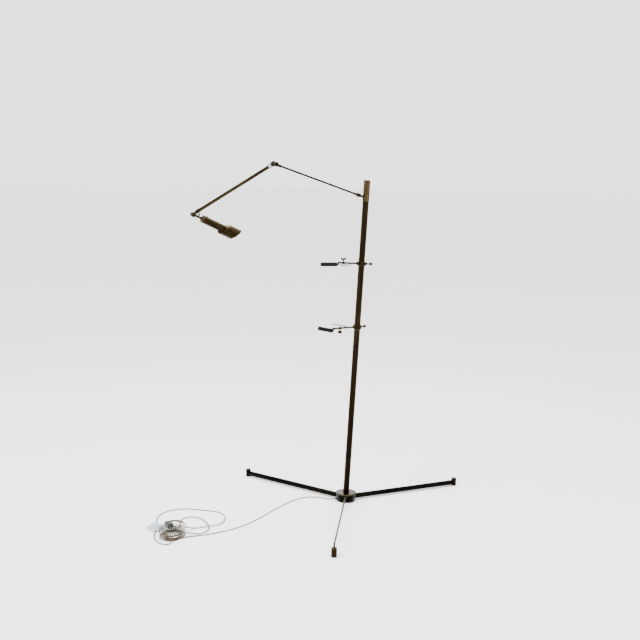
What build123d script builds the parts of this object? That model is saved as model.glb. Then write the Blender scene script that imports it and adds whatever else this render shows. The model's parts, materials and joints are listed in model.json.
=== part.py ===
from build123d import *
import os
from math import atan, cos, degrees, pi, radians, sin, tan

os.makedirs("parts", exist_ok=True)

# Adjustable brass floor lamp with two picture clamps, all sizes in millimetres.
# The origin is the centre of the hub's underside, on the floor. +Z is up and the
# front leg points along -Y. The mast leans, and the arms reach over to the left.

# ---- driving dimensions -------------------------------------------------------
# fits
slip = 0.05  # radial clearance of a running fit
gap = 0.3  # free space between pieces that move past each other

# hub
hub_radius = 46.0
hub_foot_radius = 43.5
hub_plate_thick = 3.0
cover_radius = 49.0
cover_thick = 5.0
hub_top = 41.0
hub_floor = 6.8  # metal under the mast
hub_well_radius = 14.0
cover_screw_circle = 31.0
plate_screw_circle = 36.0
plate_screw_headings = (90.0, 235.0, 305.0)

# mast
mast_tilt = 3.0
mast_lean_heading = -26.0
mast_radius = 14.5
mast_wall = 2.0
mast_depth = 24.0  # how far the tube goes into the hub
mast_height = 1383.6  # hub cover to the tube's upper end
spigot_length = 40.0
nipple_radius = 5.0
nipple_length = 12.0
lead_bore_radius = 3.5

# rear legs and feet
rear_leg_headings = {"left": 150.0, "right": 30.0}
rear_leg_reach = 603.0
leg_radius = 12.0
leg_wall = 1.5
leg_height = 16.5
leg_root = 23.0
foot_radius = 12.5
foot_top = 38.0
foot_spigot = 34.0
glide_thick = 4.0
glide_radius = 11.5
glide_stem_radius = 3.0
glide_stem = 6.0

# front leg
front_leg_reach = 704.0
front_rod_radius = 4.25
front_rod_root = 30.0
front_rod_low = 29.0
front_rod_high = 52.5
front_rod_bend = 13.0
front_rod_plunge = 20.0
front_cap_thick = 5.0
ferrule_radius = 6.2
ferrule_length = 13.0

# swivel sleeve on top of the mast
sleeve_radius = 15.25
sleeve_wall = 2.65
sleeve_length = 92.0
sleeve_seam = 0.4
cap_thick = 3.0
cap_plug = 6.0
bush_length = 48.0
stem_radius = 7.95
stem_flange = 4.0
stem_tail_radius = 9.5
arm_heading = 215.3
shoulder_height = 17.0  # pivot above the sleeve's lower edge
shoulder_offset = 6.0
shoulder_pin_radius = 2.5
slot_width = 12.0
slot_low = 2.0
slot_high = 33.5

# arms
inner_arm_length = 485.0
inner_arm_rise = 15.8
inner_tube_radius = 4.25
inner_tube_wall = 1.5
tongue_thick = 9.0
shoulder_eye_radius = 6.5
elbow_eye_radius = 10.0
outer_arm_length = 425.0
outer_arm_rise = -31.3
knuckle_radius = 12.5
knuckle_thick = 12.5
elbow_screw_radius = 3.0
elbow_knob_radius = 9.5
elbow_knob_length = 17.0
rod_radius = 2.25
rod_spacing = 10.5
conduit_radius = 2.9
conduit_wall = 1.0
conduit_start = 27.0
wrist_ferrule_length = 28.0
wrist_lug_radius = 9.5
wrist_lug_thick = 9.0
wrist_screw_radius = 2.5

# head
head_rise = -157.2
ball_radius = 11.0
neck_radius = 5.0
head_start = 41.0  # wrist pivot to the rear face of the head
journal_radius = 4.0
rear_cap_thick = 3.0
rear_cap_plug = 8.0
shade_tube_radius = 16.3
shade_mouth_radius = 27.0
shade_wall = 1.2
flare_start = 134.0
flare_end = 152.0
mouth_centre = 210.0
shade_slant = 31.0
holder_radius = 12.5
holder_plate = 8.0
bulb_radius = 14.0

# picture clamps: height on the mast, heading, reach of the arm, thumb screw,
# leaf hinge, leaf length, side that the leaf and the jaw open to, leaf and jaw angles
clamps = {
    "upper": dict(height=1099.5, heading=193.3, reach=113.0, screw=85.0,
                  leaf_root=54.0, leaf_length=48.0, side=-1, leaf_open=4.0,
                  jaw_rise=-2.5, wings=True),
    "lower": dict(height=804.4, heading=221.0, reach=144.0, screw=99.0,
                  leaf_root=72.0, leaf_length=70.0, side=1, leaf_open=9.0,
                  jaw_rise=12.0, wings=False),
}
liner_wall = 1.05
liner_flange = 1.0
liner_lip = 1.6
collar_wall = 4.35
collar_height = 18.0
boss_length = 6.0
arm_rod_radius = 4.0
lock_screw_radius = 2.0
lock_boss_length = 8.0
lock_knob_clear = 5.0  # boss to knob
lock_knob_length = 19.0
lock_knob_radius = 7.5
eye_radius = 7.5
eye_height = 10.0
thumb_radius = 2.5
thumb_knob_out = 10.0
wing_hub = 8.0
wing_out = 7.0
wing_size = (6.0, 4.5)
drum_radius = 9.5
drum_height = 12.0
leaf_pin_radius = 1.5
leaf_pin_drop = 7.5
leaf_thick = 2.5
leaf_width = 17.0
leaf_pad = 3.5
jaw_length = 76.0
jaw_size = 17.0
jaw_wall = 2.0
jaw_pin_radius = 2.0
jaw_pin_inset = 6.0
jaw_eye_radius = 5.0
jaw_drop = 8.0  # arm's line down to the jaw's pin
jaw_gap = 3.0  # end of the arm's rod to the jaw
jaw_lug_half = 3.5
lining_thick = 1.2

# flex, foot switch and plug
cord_radius = 2.5
cord_exit_heading = 190.0
cord_exit_height = 8.0
grommet_radius = 4.2
grommet_nose = 52.0
coil_centre = (-708.0, -560.0)
coil_radii = (58.0, 72.0)
coil_hole = (16.0, 26.0)
coil_height = 44.0
switch_centre = (-800.0, -490.0)
switch_radius = 38.5
switch_tier = 9.0
switch_neck_radius = 29.0
switch_height = 15.5
button_radius = 20.0
button_travel = 3.0
button_rise = 6.0
button_skirt = 5.0
plug_place = (-720.0, -573.0)
plug_heading = -50.0
plug_size = (44.0, 24.0, 20.0)
plug_pin_radius = 2.4
plug_pin_length = 19.0
plug_pin_pitch = 19.0

# ---- frames ---------------------------------------------------------------------


def heading(angle):
    """The level direction at an angle from +X, counted towards +Y."""
    return Vector(cos(radians(angle)), sin(radians(angle)), 0)


def facing(frame, axis, x=0.0, y=0.0, z=0.0):
    """A sketch plane at a point of a frame, square to one of its axes.

    "side" looks along +Y, so that a sketch's two directions are the frame's X and Z.
    """
    point = frame.from_local_coords(Vector(x, y, z))
    ways = {
        "x": (frame.y_dir, frame.x_dir),
        "y": (frame.z_dir, frame.y_dir),
        "z": (frame.x_dir, frame.z_dir),
        "side": (frame.x_dir, frame.y_dir * -1),
    }
    x_way, z_way = ways[axis]
    return Plane(origin=point, x_dir=x_way, z_dir=z_way)


def tilted(frame, rise, x=0.0, y=0.0, z=0.0):
    """The frame moved to one of its points, with its X axis lifted by rise degrees."""
    return Plane(frame.location * Location((x, y, z)) * Rotation(0, -rise, 0))


def mast_frame(height, angle):
    """A frame on the mast's axis, with X square to the mast on the given heading."""
    lean = heading(mast_lean_heading) * sin(radians(mast_tilt))
    up = lean + Vector(0, 0, cos(radians(mast_tilt)))
    level = heading(angle)
    out = (level - up * level.dot(up)).normalized()
    foot = Vector(0, 0, hub_top)
    return Plane(origin=foot + up * height, x_dir=out, z_dir=up)


def outline(plane, points):
    """A flat face on a plane, with straight edges between the points."""
    with BuildSketch(plane) as drawn:
        with BuildLine():
            Polyline(*points, close=True)
        make_face()
    return drawn.sketch


def way(frame, axis):
    """The line through a frame's origin along one of its axes."""
    return Axis(frame.origin, {"x": frame.x_dir, "y": frame.y_dir, "z": frame.z_dir}[axis])


def store(piece, name):
    """Name a finished piece and write its file."""
    piece.part.label = name
    export_step(piece.part, f"parts/{name}.step")


mast = mast_frame(0, arm_heading)
sleeve = mast_frame(mast_height + sleeve_seam, arm_heading)
shoulder = tilted(sleeve, inner_arm_rise, x=shoulder_offset, z=shoulder_height)
elbow = tilted(shoulder, outer_arm_rise - inner_arm_rise, x=inner_arm_length)
wrist = tilted(elbow, head_rise - outer_arm_rise, x=outer_arm_length)

# ---- hub ------------------------------------------------------------------------

cover_base = hub_top - cover_thick
cavity = mast_frame(-mast_depth - hub_floor, arm_heading)
exit_way = heading(cord_exit_heading)
exit_plane = Plane(origin=(0, 0, cord_exit_height), x_dir=(0, 0, 1), z_dir=exit_way)
rod_slope = degrees(atan((front_rod_high - front_rod_low) / (front_leg_reach - front_rod_root)))
front = Plane(origin=(0, -front_rod_root, front_rod_low), x_dir=(0, -1, 0), z_dir=(0, 0, 1))
front_rod_frame = tilted(front, rod_slope)
plate_screw_places = [heading(a) * plate_screw_circle for a in plate_screw_headings]
cover_screw_places = [heading(a) * cover_screw_circle for a in rear_leg_headings.values()]
leg_planes = {
    side: Plane(origin=(0, 0, leg_height), x_dir=(0, 0, 1), z_dir=heading(angle))
    for side, angle in rear_leg_headings.items()
}
screw_shank = 2.0
screw_head = 4.0
screw_head_deep = 2.0
cover_screw_length = 11.0
plate_screw_length = 10.0

with BuildPart() as hub_body:
    with BuildSketch(Plane.XZ):
        with BuildLine():
            Polyline(
                (0, hub_plate_thick),
                (hub_foot_radius, hub_plate_thick),
                (hub_radius, cover_base - 14),
                (hub_radius, cover_base),
                (0, cover_base),
                close=True,
            )
        make_face()
    revolve(axis=Axis.Z)
    with BuildSketch(facing(mast, "z", z=-mast_depth)):
        Circle(mast_radius + slip)
    extrude(amount=mast_depth + hub_top, mode=Mode.SUBTRACT)
    with BuildSketch(cavity):
        Circle(nipple_radius + slip)
    extrude(amount=mast_depth, mode=Mode.SUBTRACT)
    with BuildSketch(cavity):
        Circle(hub_well_radius)
    extrude(amount=-hub_top, mode=Mode.SUBTRACT)
    with BuildSketch(exit_plane):
        Circle(grommet_radius)
    extrude(amount=cover_radius, mode=Mode.SUBTRACT)
    for side in leg_planes:
        with BuildSketch(leg_planes[side].offset(leg_root)):
            Circle(leg_radius + slip)
        extrude(amount=cover_radius, mode=Mode.SUBTRACT)
    with BuildSketch(facing(front_rod_frame, "x")):
        Circle(front_rod_radius + slip)
    extrude(amount=cover_radius, mode=Mode.SUBTRACT)
    with BuildSketch(Plane.XY.offset(hub_top - cover_screw_length)):
        with Locations(*cover_screw_places):
            Circle(screw_shank)
    extrude(amount=cover_screw_length, mode=Mode.SUBTRACT)
    with BuildSketch(Plane.XY):
        with Locations(*plate_screw_places):
            Circle(screw_shank)
    extrude(amount=plate_screw_length, mode=Mode.SUBTRACT)
store(hub_body, "hub_body")

with BuildPart() as hub_cover:
    with BuildSketch(Plane.XY.offset(cover_base)):
        Circle(cover_radius)
    extrude(amount=cover_thick)
    fillet(hub_cover.faces().sort_by(Axis.Z)[-1].edges(), cover_thick / 3)
    with BuildSketch(mast):
        Circle(mast_radius + slip)
    extrude(amount=2 * cover_thick, both=True, mode=Mode.SUBTRACT)
    with Locations(*[Vector(p.X, p.Y, hub_top) for p in cover_screw_places]):
        CounterSinkHole(screw_shank, screw_head)
store(hub_cover, "hub_cover")

with BuildPart() as hub_base_plate:
    with BuildSketch():
        Circle(hub_foot_radius)
    extrude(amount=hub_plate_thick)
    with Locations(Plane.XY.rotated((180, 0, 0))):
        with Locations(*[Vector(p.X, -p.Y, 0) for p in plate_screw_places]):
            CounterSinkHole(screw_shank, screw_head)
store(hub_base_plate, "hub_base_plate")

with BuildPart() as hub_fasteners:
    for place in cover_screw_places:
        stand = Plane(origin=(place.X, place.Y, hub_top), x_dir=(1, 0, 0), z_dir=(0, 0, 1))
        head = [(0, 0), (screw_head, 0), (screw_shank, -screw_head_deep),
                (screw_shank, -cover_screw_length), (0, -cover_screw_length)]
        revolve(outline(facing(stand, "side"), head), axis=way(stand, "z"))
    for place in plate_screw_places:
        stand = Plane(origin=(place.X, place.Y, 0), x_dir=(1, 0, 0), z_dir=(0, 0, 1))
        head = [(0, 0), (screw_head, 0), (screw_shank, screw_head_deep),
                (screw_shank, plate_screw_length), (0, plate_screw_length)]
        revolve(outline(facing(stand, "side"), head), axis=way(stand, "z"))
    with BuildSketch(cavity):
        RegularPolygon(8.5, 6, major_radius=False)
        Circle(nipple_radius, mode=Mode.SUBTRACT)
    extrude(amount=-4)
store(hub_fasteners, "hub_fasteners")

with BuildPart() as cord_grommet:
    collar_start = hub_foot_radius + 1.5
    with BuildSketch(exit_plane.offset(collar_start - 12)):
        Circle(grommet_radius)
    extrude(amount=12)
    with BuildSketch(exit_plane.offset(collar_start)):
        Circle(grommet_radius + 1.3)
    with BuildSketch(exit_plane.offset(grommet_nose)):
        Circle(cord_radius + 0.8)
    loft()
    with BuildSketch(exit_plane.offset(collar_start - 12)):
        Circle(cord_radius)
    extrude(amount=2 * grommet_nose, mode=Mode.SUBTRACT)
store(cord_grommet, "cord_grommet")

# ---- rear legs and feet ---------------------------------------------------------

for side, plane in leg_planes.items():
    foot_place = heading(rear_leg_headings[side]) * rear_leg_reach
    with BuildPart() as leg:
        with BuildSketch(plane.offset(leg_root)):
            Circle(leg_radius)
            Circle(leg_radius - leg_wall, mode=Mode.SUBTRACT)
        extrude(amount=rear_leg_reach - leg_root)
        with BuildSketch(Plane.XY):
            with Locations(foot_place):
                Circle(foot_radius)
        extrude(amount=hub_top, mode=Mode.SUBTRACT)
    store(leg, f"leg_{side}")

with BuildPart() as rear_feet:
    for side, plane in leg_planes.items():
        foot_place = heading(rear_leg_headings[side]) * rear_leg_reach
        with BuildSketch(Plane.XY.offset(glide_thick)):
            with Locations(foot_place):
                Circle(foot_radius)
        extrude(amount=foot_top - glide_thick)
        with BuildSketch(plane.offset(rear_leg_reach - foot_spigot)):
            Circle(leg_radius - leg_wall)
        extrude(amount=foot_spigot)
    chamfer(rear_feet.faces().group_by(Axis.Z)[-1].edges(), 1.2)
    for angle in rear_leg_headings.values():
        with BuildSketch(Plane.XY.offset(glide_thick)):
            with Locations(heading(angle) * rear_leg_reach):
                Circle(glide_stem_radius)
        extrude(amount=glide_stem, mode=Mode.SUBTRACT)
store(rear_feet, "rear_feet")

foot_places = [heading(a) * rear_leg_reach for a in rear_leg_headings.values()]
foot_places.append(Vector(0, -front_leg_reach, 0))
with BuildPart() as foot_glides:
    with BuildSketch():
        with Locations(*foot_places):
            Circle(glide_radius)
    extrude(amount=glide_thick)
    with BuildSketch(Plane.XY.offset(glide_thick)):
        with Locations(*foot_places):
            Circle(glide_stem_radius)
    extrude(amount=glide_stem)
store(foot_glides, "foot_glides")

# ---- front leg ------------------------------------------------------------------

with BuildPart() as front_leg:
    with BuildLine() as front_route:
        FilletPolyline(
            (0, -front_rod_root, front_rod_low),
            (0, -front_leg_reach, front_rod_high),
            (0, -front_leg_reach, front_rod_plunge),
            radius=front_rod_bend,
        )
    with BuildSketch(Plane(origin=front_route.line @ 0, z_dir=front_route.line % 0)):
        Circle(front_rod_radius)
    sweep()
store(front_leg, "front_leg")

with BuildPart() as front_leg_ferrule:
    with BuildSketch(facing(front_rod_frame, "x", x=hub_radius + 0.6 - front_rod_root)):
        Circle(ferrule_radius)
        Circle(front_rod_radius, mode=Mode.SUBTRACT)
    extrude(amount=ferrule_length)
    chamfer(front_leg_ferrule.faces().sort_by(Axis.Y)[0].outer_wire().edges(), 1.2)
store(front_leg_ferrule, "front_leg_ferrule")

front_foot_place = Location((0, -front_leg_reach))
cap_base = foot_top + 1 - front_cap_thick
with BuildPart() as front_foot:
    with BuildSketch(Plane.XY.offset(glide_thick)):
        with Locations(front_foot_place):
            Circle(foot_radius)
    extrude(amount=cap_base - glide_thick)
    with BuildSketch(Plane.XY.offset(front_rod_plunge)):
        with Locations(front_foot_place):
            Circle(front_rod_radius)
    extrude(amount=foot_top, mode=Mode.SUBTRACT)
    with BuildSketch(Plane.XY.offset(glide_thick)):
        with Locations(front_foot_place):
            Circle(glide_stem_radius)
    extrude(amount=glide_stem, mode=Mode.SUBTRACT)
store(front_foot, "front_foot")

with BuildPart() as front_foot_cap:
    with BuildSketch(Plane.XY.offset(cap_base)):
        with Locations(front_foot_place):
            Circle(foot_radius)
            Circle(front_rod_radius, mode=Mode.SUBTRACT)
    extrude(amount=front_cap_thick)
    chamfer(front_foot_cap.faces().sort_by(Axis.Z)[-1].outer_wire().edges(), 1.5)
store(front_foot_cap, "front_foot_cap")

# ---- mast -----------------------------------------------------------------------

mast_bore = mast_radius - mast_wall
with BuildPart() as mast_tube:
    with BuildSketch(facing(mast, "z", z=-mast_depth)):
        Circle(mast_radius)
        Circle(mast_bore, mode=Mode.SUBTRACT)
    extrude(amount=mast_depth + mast_height)
store(mast_tube, "mast_tube")

with BuildPart() as mast_spigot:
    with BuildSketch(facing(mast, "z", z=-mast_depth)):
        Circle(mast_bore)
    extrude(amount=spigot_length)
    with BuildSketch(facing(mast, "z", z=-mast_depth)):
        Circle(nipple_radius)
    extrude(amount=-nipple_length)
    with BuildSketch(facing(mast, "z", z=-mast_depth - nipple_length)):
        Circle(lead_bore_radius)
    extrude(amount=nipple_length + spigot_length, mode=Mode.SUBTRACT)
store(mast_spigot, "mast_spigot")

with BuildPart() as mast_top_bush:
    with BuildSketch(facing(mast, "z", z=mast_height - bush_length)):
        Circle(mast_bore)
        Circle(stem_radius + slip, mode=Mode.SUBTRACT)
    extrude(amount=bush_length)
store(mast_top_bush, "mast_top_bush")

# ---- swivel sleeve --------------------------------------------------------------

sleeve_bore = sleeve_radius - sleeve_wall
shoulder_pin_reach = sleeve_radius - 0.9
with BuildPart() as swivel_sleeve:
    with BuildSketch(sleeve):
        Circle(sleeve_radius)
        Circle(sleeve_bore, mode=Mode.SUBTRACT)
    extrude(amount=sleeve_length)
    with BuildSketch(facing(sleeve, "side", y=-slot_width / 2)):
        with Locations((sleeve_radius, (slot_low + slot_high) / 2)):
            Rectangle(2 * sleeve_radius, slot_high - slot_low)
    extrude(amount=-slot_width, mode=Mode.SUBTRACT)
    with BuildSketch(facing(sleeve, "y", x=shoulder_offset, z=shoulder_height)):
        Circle(shoulder_pin_radius)
    extrude(amount=sleeve_radius, both=True, mode=Mode.SUBTRACT)
store(swivel_sleeve, "swivel_sleeve")

with BuildPart() as swivel_stem:
    with BuildSketch(sleeve):
        Circle(sleeve_bore)
    extrude(amount=stem_flange)
    with BuildSketch(sleeve):
        Circle(stem_radius)
    extrude(amount=-(bush_length + sleeve_seam + gap))
    with BuildSketch(facing(sleeve, "z", z=-(bush_length + sleeve_seam + gap))):
        Circle(stem_tail_radius)
    extrude(amount=-2.5)
    with BuildSketch(facing(sleeve, "z", z=-2 * bush_length)):
        Circle(lead_bore_radius)
    extrude(amount=3 * bush_length, mode=Mode.SUBTRACT)
store(swivel_stem, "swivel_stem")

with BuildPart() as swivel_cap:
    with BuildSketch(facing(sleeve, "z", z=sleeve_length)):
        Circle(sleeve_radius)
    extrude(amount=cap_thick)
    with BuildSketch(facing(sleeve, "z", z=sleeve_length)):
        Circle(sleeve_bore)
    extrude(amount=-cap_plug)
    chamfer(swivel_cap.faces().sort_by(Axis.Z)[-1].edges(), 0.8)
store(swivel_cap, "swivel_cap")

with BuildPart() as shoulder_pin:
    with BuildSketch(facing(sleeve, "y", x=shoulder_offset, z=shoulder_height)):
        Circle(shoulder_pin_radius)
    extrude(amount=shoulder_pin_reach, both=True)
store(shoulder_pin, "shoulder_pin")

# ---- inner arm ------------------------------------------------------------------

ferrule_start = 18.5
ferrule_wide = 30.0
ferrule_wide_end = 42.0
ferrule_end = 52.0
tube_socket = 26.0
ferrule_big = 8.6
ferrule_small = 4.6
with BuildPart() as shoulder_tongue:
    with BuildSketch(facing(shoulder, "y", y=-tongue_thick / 2)):
        Circle(shoulder_eye_radius)
        with Locations((0, ferrule_start / 2)):
            Rectangle(tongue_thick, ferrule_start)
    extrude(amount=tongue_thick)
    revolve(
        outline(facing(shoulder, "side"), [
            (ferrule_start - 4, 0),
            (ferrule_start - 4, ferrule_small),
            (ferrule_start, ferrule_small),
            (ferrule_wide, ferrule_big),
            (ferrule_wide_end, ferrule_big),
            (ferrule_end, inner_tube_radius + 1.2),
            (ferrule_end, 0),
        ]),
        axis=way(shoulder, "x"),
    )
    with BuildSketch(facing(shoulder, "x", x=tube_socket)):
        Circle(inner_tube_radius)
    extrude(amount=ferrule_end, mode=Mode.SUBTRACT)
    with BuildSketch(facing(shoulder, "y", y=-tongue_thick)):
        Circle(shoulder_pin_radius + slip)
    extrude(amount=2 * tongue_thick, mode=Mode.SUBTRACT)
store(shoulder_tongue, "shoulder_tongue")

elbow_socket = 18.0  # elbow pivot back to the tube's end
elbow_neck = 34.0
elbow_bar = knuckle_radius + 2
with BuildPart() as inner_arm_tube:
    with BuildSketch(facing(shoulder, "x", x=tube_socket)):
        Circle(inner_tube_radius)
        Circle(inner_tube_radius - inner_tube_wall, mode=Mode.SUBTRACT)
    extrude(amount=inner_arm_length - elbow_socket - tube_socket)
store(inner_arm_tube, "inner_arm_tube")

elbow_inner = facing(shoulder, "z", x=inner_arm_length)
with BuildPart() as elbow_tongue:
    with BuildSketch(facing(elbow_inner, "y", y=-tongue_thick / 2)):
        Circle(elbow_eye_radius)
        with Locations((0, -elbow_bar / 2)):
            Rectangle(tongue_thick + 3, elbow_bar)
    extrude(amount=tongue_thick)
    revolve(
        outline(facing(elbow_inner, "side"), [
            (-elbow_neck, 0),
            (-elbow_neck, inner_tube_radius + 1.0),
            (-elbow_neck + 4, inner_tube_radius + 2.2),
            (-elbow_bar, inner_tube_radius + 2.2),
            (-elbow_bar, 0),
        ]),
        axis=way(elbow_inner, "x"),
    )
    with BuildSketch(facing(elbow_inner, "x", x=-elbow_neck)):
        Circle(inner_tube_radius)
    extrude(amount=elbow_neck - elbow_socket, mode=Mode.SUBTRACT)
    with BuildSketch(facing(elbow_inner, "y", y=-elbow_neck)):
        Circle(elbow_screw_radius + slip)
    extrude(amount=2 * elbow_neck, mode=Mode.SUBTRACT)
store(elbow_tongue, "elbow_tongue")

# ---- elbow and outer arm --------------------------------------------------------

lap = tongue_thick / 2 + 0.5  # inner face of what lies beside the tongue
knuckle_mid = -lap - knuckle_thick / 2
outer_arm = facing(elbow, "z", y=knuckle_mid)
rod_start = 5.0
rod_end = outer_arm_length - wrist_ferrule_length
rod_places = [(0, rod_spacing / 2), (0, -rod_spacing / 2)]
with BuildPart() as elbow_knuckle:
    with BuildSketch(facing(outer_arm, "y", y=-knuckle_thick / 2)):
        Circle(knuckle_radius)
    extrude(amount=knuckle_thick)
    fillet(elbow_knuckle.edges(), 2.5)
    with BuildSketch(facing(outer_arm, "x", x=rod_start)):
        with Locations(*rod_places):
            Circle(rod_radius)
    extrude(amount=knuckle_radius, mode=Mode.SUBTRACT)
    with BuildSketch(facing(outer_arm, "y", y=-knuckle_thick)):
        Circle(elbow_screw_radius)
    extrude(amount=2 * knuckle_thick, mode=Mode.SUBTRACT)
store(elbow_knuckle, "elbow_knuckle")

screw_head_start = -knuckle_thick / 2 + knuckle_mid
screw_tip = lap + elbow_knob_length - 5
with BuildPart() as elbow_screw:
    revolve(
        outline(facing(elbow, "z"), [
            (0, screw_tip),
            (elbow_screw_radius, screw_tip),
            (elbow_screw_radius, screw_head_start),
            (7, screw_head_start),
            (7, screw_head_start - 1.5),
            (4.5, screw_head_start - 3.5),
            (0, screw_head_start - 4.2),
        ]),
        axis=way(elbow, "y"),
    )
store(elbow_screw, "elbow_screw")

with BuildPart() as elbow_knob:
    with BuildSketch(facing(elbow, "y", y=lap)):
        Circle(elbow_knob_radius)
        Circle(elbow_screw_radius + slip, mode=Mode.SUBTRACT)
    extrude(amount=elbow_knob_length - 5 + gap)
    with BuildSketch(facing(elbow, "y", y=lap + elbow_knob_length - 5 + gap)):
        Circle(elbow_knob_radius)
    extrude(amount=5 - gap)
    chamfer(elbow_knob.faces().filter_by(GeomType.PLANE).edges().filter_by(
        lambda e: abs(e.radius - elbow_knob_radius) < 0.01), 1.2)
store(elbow_knob, "elbow_knob")

with BuildPart() as outer_arm_rods:
    with BuildSketch(facing(outer_arm, "x", x=rod_start)):
        with Locations(*rod_places):
            Circle(rod_radius)
    extrude(amount=rod_end - rod_start)
store(outer_arm_rods, "outer_arm_rods")

with BuildPart() as outer_arm_conduit:
    with BuildSketch(facing(outer_arm, "x", x=conduit_start)):
        Circle(conduit_radius)
    extrude(amount=rod_end - conduit_start)
    with BuildSketch(facing(outer_arm, "x", x=conduit_start)):
        SlotCenterToCenter(rod_spacing, 2 * rod_radius + 2.4, rotation=90)
    extrude(amount=5)
    with BuildSketch(facing(outer_arm, "x", x=conduit_start)):
        with Locations(*rod_places):
            Circle(rod_radius)
        Circle(conduit_radius - conduit_wall)
    extrude(amount=rod_end, mode=Mode.SUBTRACT)
store(outer_arm_conduit, "outer_arm_conduit")

outer_end = facing(outer_arm, "z", x=outer_arm_length)
block_start = -wrist_ferrule_length - 12
block_end = -wrist_lug_radius - 2
with BuildPart() as wrist_ferrule:
    with BuildSketch(facing(outer_end, "x", x=block_start)):
        SlotCenterToCenter(rod_spacing - 2, 2 * rod_radius + 3, rotation=90)
    with BuildSketch(facing(outer_end, "x", x=-wrist_ferrule_length)):
        SlotCenterToCenter(rod_spacing - 2, 2 * rod_radius + 5, rotation=90)
    with BuildSketch(facing(outer_end, "x", x=block_end)):
        SlotCenterToCenter(3, wrist_lug_thick, rotation=90)
    loft(ruled=True)
    with BuildSketch(facing(outer_end, "y", y=-wrist_lug_thick / 2)):
        Circle(wrist_lug_radius)
        with Locations((0, block_end / 2)):
            Rectangle(wrist_lug_thick, -block_end)
    extrude(amount=wrist_lug_thick)
    with BuildSketch(facing(outer_end, "x", x=block_start)):
        with Locations(*rod_places):
            Circle(rod_radius)
        Circle(conduit_radius)
    extrude(amount=-wrist_ferrule_length - block_start, mode=Mode.SUBTRACT)
    with BuildSketch(facing(outer_end, "y", y=-wrist_lug_thick)):
        Circle(wrist_screw_radius)
    extrude(amount=2 * wrist_lug_thick, mode=Mode.SUBTRACT)
store(wrist_ferrule, "wrist_ferrule")

wrist_screw_head = knuckle_mid - wrist_lug_thick / 2
wrist_screw_tip = ball_radius - 4
clamp_screw_x = -wrist_ferrule_length + 3
clamp_knob_radius = 4.5
with BuildPart() as wrist_screws:
    revolve(
        outline(facing(wrist, "z"), [
            (0, wrist_screw_tip),
            (wrist_screw_radius, wrist_screw_tip),
            (wrist_screw_radius, wrist_screw_head),
            (5, wrist_screw_head),
            (5, wrist_screw_head - 2),
            (3.5, wrist_screw_head - 3),
            (0, wrist_screw_head - 3),
        ]),
        axis=way(wrist, "y"),
    )
    with BuildSketch(facing(outer_end, "z", x=clamp_screw_x, z=-9)):
        Circle(1.6)
    extrude(amount=-4)
    with BuildSketch(facing(outer_end, "z", x=clamp_screw_x, z=-13)):
        Circle(clamp_knob_radius)
    extrude(amount=-6)
store(wrist_screws, "wrist_screws")

# ---- wrist and head -------------------------------------------------------------

ball_flat = lap + gap
neck_end = head_start - 6
journal_end = head_start + rear_cap_thick + rear_cap_plug + gap
with BuildPart() as wrist_knuckle:
    with BuildSketch(facing(wrist, "side")):
        with BuildLine():
            ThreePointArc((-ball_radius, 0), (0, ball_radius), (ball_radius, 0))
            Line((ball_radius, 0), (-ball_radius, 0))
        make_face()
    revolve(axis=way(wrist, "x"))
    revolve(
        outline(facing(wrist, "side"), [
            (ball_radius / 2, 0),
            (ball_radius / 2, neck_radius),
            (neck_end, neck_radius),
            (neck_end, journal_radius),
            (journal_end, journal_radius),
            (journal_end, journal_radius + 2),
            (journal_end + 2, journal_radius + 2),
            (journal_end + 2, 0),
        ]),
        axis=way(wrist, "x"),
    )
    with BuildSketch(facing(wrist, "y", y=-2 * ball_radius)):
        Rectangle(4 * ball_radius, 4 * ball_radius)
    extrude(amount=2 * ball_radius - ball_flat, mode=Mode.SUBTRACT)
    with BuildSketch(facing(wrist, "y", y=-2 * ball_radius)):
        Circle(wrist_screw_radius + slip)
    extrude(amount=2 * ball_radius + wrist_screw_tip + gap, mode=Mode.SUBTRACT)
store(wrist_knuckle, "wrist_knuckle")

shade_bore = shade_tube_radius - shade_wall
with BuildPart() as head_cap:
    revolve(
        outline(facing(wrist, "side"), [
            (neck_end + gap, journal_radius + slip),
            (neck_end + gap, neck_radius + 2.5),
            (head_start, neck_radius + 2.5),
            (head_start, shade_tube_radius - 1),
            (head_start + 1, shade_tube_radius),
            (head_start + rear_cap_thick, shade_tube_radius),
            (head_start + rear_cap_thick, shade_bore),
            (head_start + rear_cap_thick + rear_cap_plug, shade_bore),
            (head_start + rear_cap_thick + rear_cap_plug, journal_radius + slip),
        ]),
        axis=way(wrist, "x"),
    )
store(head_cap, "head_cap")


def slanted(x, radius):
    """The ellipse where a cylinder about the head's axis meets a plane slanted at x."""
    plane = tilted(facing(wrist, "z", x=x), shade_slant)
    with BuildSketch(facing(plane, "x")) as cut:
        Ellipse(radius, radius / cos(radians(shade_slant)))
    return cut.sketch


def shade_solid(inset):
    """The shade's outer shape, or its inside when inset is the wall."""
    narrow = shade_tube_radius - inset
    wide = shade_mouth_radius - inset
    back = facing(wrist, "x", x=head_start + rear_cap_thick)
    mouth = tilted(facing(wrist, "z", x=mouth_centre), shade_slant)
    with BuildPart() as solid:
        with BuildSketch(back):
            Circle(narrow)
        extrude(amount=mouth_centre)
        split(bisect_by=facing(tilted(facing(wrist, "z", x=flare_start), shade_slant), "x"),
              keep=Keep.BOTTOM)
    with BuildPart() as flare:
        loft(sections=[slanted(flare_start, narrow), slanted(flare_end, wide)], ruled=True)
    with BuildPart() as bell:
        with BuildSketch(facing(wrist, "x", x=head_start)):
            Circle(wide)
        extrude(amount=2 * mouth_centre)
        split(bisect_by=facing(tilted(facing(wrist, "z", x=flare_end), shade_slant), "x"),
              keep=Keep.TOP)
        split(bisect_by=facing(mouth, "x", x=inset), keep=Keep.BOTTOM)
    return solid.part + flare.part + bell.part


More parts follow.
